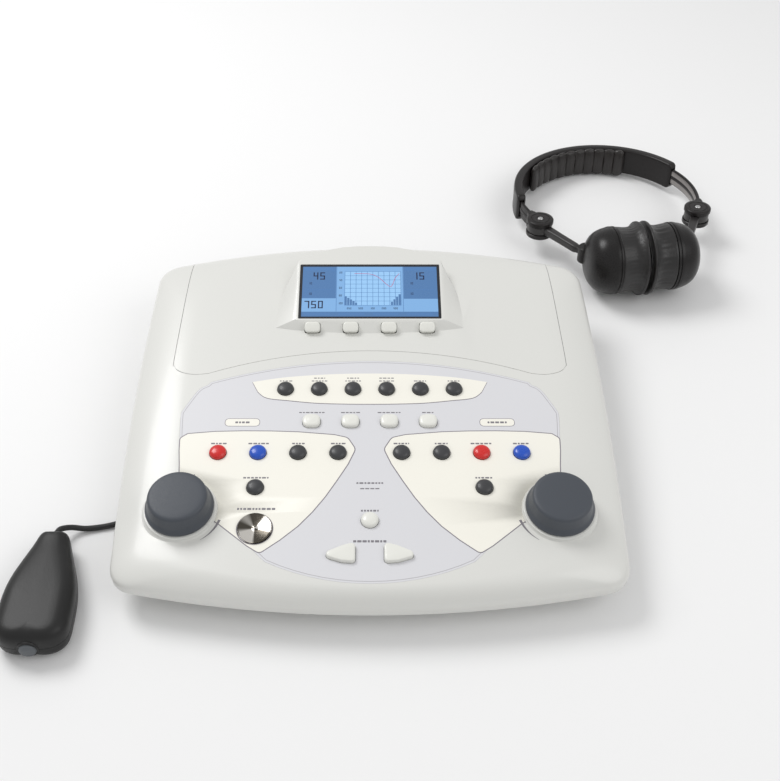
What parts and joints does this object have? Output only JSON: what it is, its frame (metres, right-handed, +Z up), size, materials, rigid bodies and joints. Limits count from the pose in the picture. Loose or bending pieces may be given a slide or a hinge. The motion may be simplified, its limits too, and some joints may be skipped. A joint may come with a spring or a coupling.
{
  "type": "audiometer",
  "caption": "Desktop hearing-test audiometer with a sloping key panel, tilted display, two rotary knobs, a corded patient response handset and a padded folding headset.",
  "frame": {"origin": "on the table under the middle of the console, at the face of its middle rubber foot", "axes": "+X to the operator's right, +Y away from the operator towards the display and the rear sockets, +Z up"},
  "size_m": [0.6043, 0.6198, 0.0876],
  "materials": {
    "shell": "pearl grey moulding, satin",
    "overlay": "printed film, satin",
    "window": "clear display window",
    "display": "lit display module",
    "board": "circuit board",
    "switches": "small switch bodies",
    "sockets": "black socket bodies",
    "encoder_metal": "plain metal",
    "feet": "soft rubber",
    "screws": "plain steel",
    "key_dark": "dark grey cap",
    "key_white": "off-white cap",
    "key_red": "red cap",
    "key_blue": "blue cap",
    "interrupter_metal": "turned and polished",
    "knob": "slate grey soft-touch",
    "handset": "fine textured black",
    "response_cap": "dark grey button",
    "cord": "black flexible jacket",
    "plug": "black moulded plug",
    "band": "black moulding",
    "pad_leather": "soft black leatherette",
    "slider_metal": "bent steel strap",
    "cup": "black moulding"
  },
  "bodies": {
    "console": {"top_cover": "shell", "base_tray": "shell", "display_deck": "shell", "control_overlay": "overlay", "lcd_window": "window", "lcd_module": "display", "main_board": "board", "tact_switches": "switches", "rear_panel": "sockets", "rear_sockets": "sockets", "encoders": "encoder_metal", "rubber_feet": "feet", "case_screws": "screws", "response_cord": "cord", "response_coil": "cord", "response_plug": "plug"},
    "preset_key_1": {"preset_key_1": "key_dark"},
    "preset_key_2": {"preset_key_2": "key_dark"},
    "preset_key_3": {"preset_key_3": "key_dark"},
    "preset_key_4": {"preset_key_4": "key_dark"},
    "preset_key_5": {"preset_key_5": "key_dark"},
    "preset_key_6": {"preset_key_6": "key_dark"},
    "option_key_1": {"option_key_1": "key_white"},
    "option_key_2": {"option_key_2": "key_white"},
    "option_key_3": {"option_key_3": "key_white"},
    "option_key_4": {"option_key_4": "key_white"},
    "stimulus_key_1": {"stimulus_key_1": "key_red"},
    "stimulus_key_2": {"stimulus_key_2": "key_blue"},
    "stimulus_key_3": {"stimulus_key_3": "key_dark"},
    "stimulus_key_4": {"stimulus_key_4": "key_dark"},
    "masking_key_1": {"masking_key_1": "key_dark"},
    "masking_key_2": {"masking_key_2": "key_dark"},
    "masking_key_3": {"masking_key_3": "key_red"},
    "masking_key_4": {"masking_key_4": "key_blue"},
    "signal_key": {"signal_key": "key_dark"},
    "masking_enable_key": {"masking_enable_key": "key_dark"},
    "store_key": {"store_key": "key_white"},
    "frequency_down_key": {"frequency_down_key": "key_white"},
    "frequency_up_key": {"frequency_up_key": "key_white"},
    "interrupter_button": {"interrupter_button": "interrupter_metal"},
    "soft_key_1": {"soft_key_1": "key_white"},
    "soft_key_2": {"soft_key_2": "key_white"},
    "soft_key_3": {"soft_key_3": "key_white"},
    "soft_key_4": {"soft_key_4": "key_white"},
    "left_knob": {"left_knob": "knob"},
    "right_knob": {"right_knob": "knob"},
    "handset": {"response_upper_shell": "handset", "response_lower_shell": "handset", "response_strain_relief": "cord"},
    "response_button": {"response_button": "response_cap"},
    "headset": {"headband": "band", "headband_pad": "pad_leather"},
    "left_slider": {"left_slider": "slider_metal"},
    "left_arm": {"left_arm": "band"},
    "left_cup": {"left_cup": "cup", "left_ear_pad": "pad_leather"},
    "right_slider": {"right_slider": "slider_metal"},
    "right_arm": {"right_arm": "slider_metal"},
    "right_cup": {"right_cup": "cup", "right_ear_pad": "pad_leather"}
  },
  "joints": [
    {"name": "preset_key_1_press", "type": "slide", "parent": "console", "child": "preset_key_1", "axis": [0, 0.0958, -0.9954], "range_m": [0, 0.0014], "stiffness_N_per_m": 600, "springref_m": -0.0004},
    {"name": "preset_key_2_press", "type": "slide", "parent": "console", "child": "preset_key_2", "axis": [0, 0.0958, -0.9954], "range_m": [0, 0.0014], "stiffness_N_per_m": 600, "springref_m": -0.0004},
    {"name": "preset_key_3_press", "type": "slide", "parent": "console", "child": "preset_key_3", "axis": [0, 0.0958, -0.9954], "range_m": [0, 0.0014], "stiffness_N_per_m": 600, "springref_m": -0.0004},
    {"name": "preset_key_4_press", "type": "slide", "parent": "console", "child": "preset_key_4", "axis": [0, 0.0958, -0.9954], "range_m": [0, 0.0014], "stiffness_N_per_m": 600, "springref_m": -0.0004},
    {"name": "preset_key_5_press", "type": "slide", "parent": "console", "child": "preset_key_5", "axis": [0, 0.0958, -0.9954], "range_m": [0, 0.0014], "stiffness_N_per_m": 600, "springref_m": -0.0004},
    {"name": "preset_key_6_press", "type": "slide", "parent": "console", "child": "preset_key_6", "axis": [0, 0.0958, -0.9954], "range_m": [0, 0.0014], "stiffness_N_per_m": 600, "springref_m": -0.0004},
    {"name": "option_key_1_press", "type": "slide", "parent": "console", "child": "option_key_1", "axis": [0, 0.0958, -0.9954], "range_m": [0, 0.0014], "stiffness_N_per_m": 600, "springref_m": -0.0004},
    {"name": "option_key_2_press", "type": "slide", "parent": "console", "child": "option_key_2", "axis": [0, 0.0958, -0.9954], "range_m": [0, 0.0014], "stiffness_N_per_m": 600, "springref_m": -0.0004},
    {"name": "option_key_3_press", "type": "slide", "parent": "console", "child": "option_key_3", "axis": [0, 0.0958, -0.9954], "range_m": [0, 0.0014], "stiffness_N_per_m": 600, "springref_m": -0.0004},
    {"name": "option_key_4_press", "type": "slide", "parent": "console", "child": "option_key_4", "axis": [0, 0.0958, -0.9954], "range_m": [0, 0.0014], "stiffness_N_per_m": 600, "springref_m": -0.0004},
    {"name": "stimulus_key_1_press", "type": "slide", "parent": "console", "child": "stimulus_key_1", "axis": [0, 0.0958, -0.9954], "range_m": [0, 0.0014], "stiffness_N_per_m": 600, "springref_m": -0.0004},
    {"name": "stimulus_key_2_press", "type": "slide", "parent": "console", "child": "stimulus_key_2", "axis": [0, 0.0958, -0.9954], "range_m": [0, 0.0014], "stiffness_N_per_m": 600, "springref_m": -0.0004},
    {"name": "stimulus_key_3_press", "type": "slide", "parent": "console", "child": "stimulus_key_3", "axis": [0, 0.0958, -0.9954], "range_m": [0, 0.0014], "stiffness_N_per_m": 600, "springref_m": -0.0004},
    {"name": "stimulus_key_4_press", "type": "slide", "parent": "console", "child": "stimulus_key_4", "axis": [0, 0.0958, -0.9954], "range_m": [0, 0.0014], "stiffness_N_per_m": 600, "springref_m": -0.0004},
    {"name": "masking_key_1_press", "type": "slide", "parent": "console", "child": "masking_key_1", "axis": [0, 0.0958, -0.9954], "range_m": [0, 0.0014], "stiffness_N_per_m": 600, "springref_m": -0.0004},
    {"name": "masking_key_2_press", "type": "slide", "parent": "console", "child": "masking_key_2", "axis": [0, 0.0958, -0.9954], "range_m": [0, 0.0014], "stiffness_N_per_m": 600, "springref_m": -0.0004},
    {"name": "masking_key_3_press", "type": "slide", "parent": "console", "child": "masking_key_3", "axis": [0, 0.0958, -0.9954], "range_m": [0, 0.0014], "stiffness_N_per_m": 600, "springref_m": -0.0004},
    {"name": "masking_key_4_press", "type": "slide", "parent": "console", "child": "masking_key_4", "axis": [0, 0.0958, -0.9954], "range_m": [0, 0.0014], "stiffness_N_per_m": 600, "springref_m": -0.0004},
    {"name": "signal_key_press", "type": "slide", "parent": "console", "child": "signal_key", "axis": [0, 0.0958, -0.9954], "range_m": [0, 0.0014], "stiffness_N_per_m": 600, "springref_m": -0.0004},
    {"name": "masking_enable_key_press", "type": "slide", "parent": "console", "child": "masking_enable_key", "axis": [0, 0.0958, -0.9954], "range_m": [0, 0.0014], "stiffness_N_per_m": 600, "springref_m": -0.0004},
    {"name": "store_key_press", "type": "slide", "parent": "console", "child": "store_key", "axis": [0, 0.0958, -0.9954], "range_m": [0, 0.0014], "stiffness_N_per_m": 600, "springref_m": -0.0004},
    {"name": "frequency_down_key_press", "type": "slide", "parent": "console", "child": "frequency_down_key", "axis": [0, 0.0958, -0.9954], "range_m": [0, 0.0014], "stiffness_N_per_m": 600, "springref_m": -0.0004},
    {"name": "frequency_up_key_press", "type": "slide", "parent": "console", "child": "frequency_up_key", "axis": [0, 0.0958, -0.9954], "range_m": [0, 0.0014], "stiffness_N_per_m": 600, "springref_m": -0.0004},
    {"name": "interrupter_button_press", "type": "slide", "parent": "console", "child": "interrupter_button", "axis": [0, 0.0958, -0.9954], "range_m": [0, 0.0014], "stiffness_N_per_m": 600, "springref_m": -0.0004},
    {"name": "soft_key_1_press", "type": "slide", "parent": "console", "child": "soft_key_1", "axis": [0, 0.5807, -0.8141], "range_m": [0, 0.0014], "stiffness_N_per_m": 600, "springref_m": -0.0004},
    {"name": "soft_key_2_press", "type": "slide", "parent": "console", "child": "soft_key_2", "axis": [0, 0.5807, -0.8141], "range_m": [0, 0.0014], "stiffness_N_per_m": 600, "springref_m": -0.0004},
    {"name": "soft_key_3_press", "type": "slide", "parent": "console", "child": "soft_key_3", "axis": [0, 0.5807, -0.8141], "range_m": [0, 0.0014], "stiffness_N_per_m": 600, "springref_m": -0.0004},
    {"name": "soft_key_4_press", "type": "slide", "parent": "console", "child": "soft_key_4", "axis": [0, 0.5807, -0.8141], "range_m": [0, 0.0014], "stiffness_N_per_m": 600, "springref_m": -0.0004},
    {"name": "left_knob_turn", "type": "hinge", "parent": "console", "child": "left_knob", "pos_m": [-0.139, -0.10825, 0.04777], "axis": [0, -0.0958, 0.9954], "continuous": true},
    {"name": "right_knob_turn", "type": "hinge", "parent": "console", "child": "right_knob", "pos_m": [0.139, -0.10825, 0.04777], "axis": [0, -0.0958, 0.9954], "continuous": true},
    {"name": "handset_lift", "type": "slide", "parent": "console", "child": "handset", "axis": [0, 0, 1], "range_m": [0, 0.04]},
    {"name": "response_button_press", "type": "slide", "parent": "handset", "child": "response_button", "axis": [0, 1, 0], "range_m": [0, 0.002], "stiffness_N_per_m": 500, "springref_m": -0.0005},
    {"name": "headset_lift", "type": "slide", "parent": "console", "child": "headset", "axis": [0, 0, 1], "range_m": [0, 0.1]},
    {"name": "left_slider_extend", "type": "hinge", "parent": "headset", "child": "left_slider", "pos_m": [0.24291, 0.31667, 0.02446], "axis": [-0.0115, 0.0939, 0.9955], "range_deg": [-12, 0]},
    {"name": "left_arm_fold", "type": "hinge", "parent": "left_slider", "child": "left_arm", "pos_m": [0.16831, 0.26559, 0.02841], "axis": [-0.0115, 0.0939, 0.9955], "range_deg": [-18, 0]},
    {"name": "left_cup_tilt", "type": "hinge", "parent": "left_arm", "child": "left_cup", "pos_m": [0.20382, 0.21658, 0.03344], "axis": [-0.0115, 0.0939, 0.9955], "range_deg": [-5, 1]},
    {"name": "right_slider_extend", "type": "hinge", "parent": "headset", "child": "right_slider", "pos_m": [0.24291, 0.31667, 0.02446], "axis": [-0.0115, 0.0939, 0.9955], "range_deg": [0, 26]},
    {"name": "right_arm_fold", "type": "hinge", "parent": "right_slider", "child": "right_arm", "pos_m": [0.32766, 0.28516, 0.02841], "axis": [-0.0115, 0.0939, 0.9955], "range_deg": [0, 18]},
    {"name": "right_cup_tilt", "type": "hinge", "parent": "right_arm", "child": "right_cup", "pos_m": [0.30506, 0.22901, 0.03344], "axis": [-0.0115, 0.0939, 0.9955], "range_deg": [-1, 5]}
  ]
}
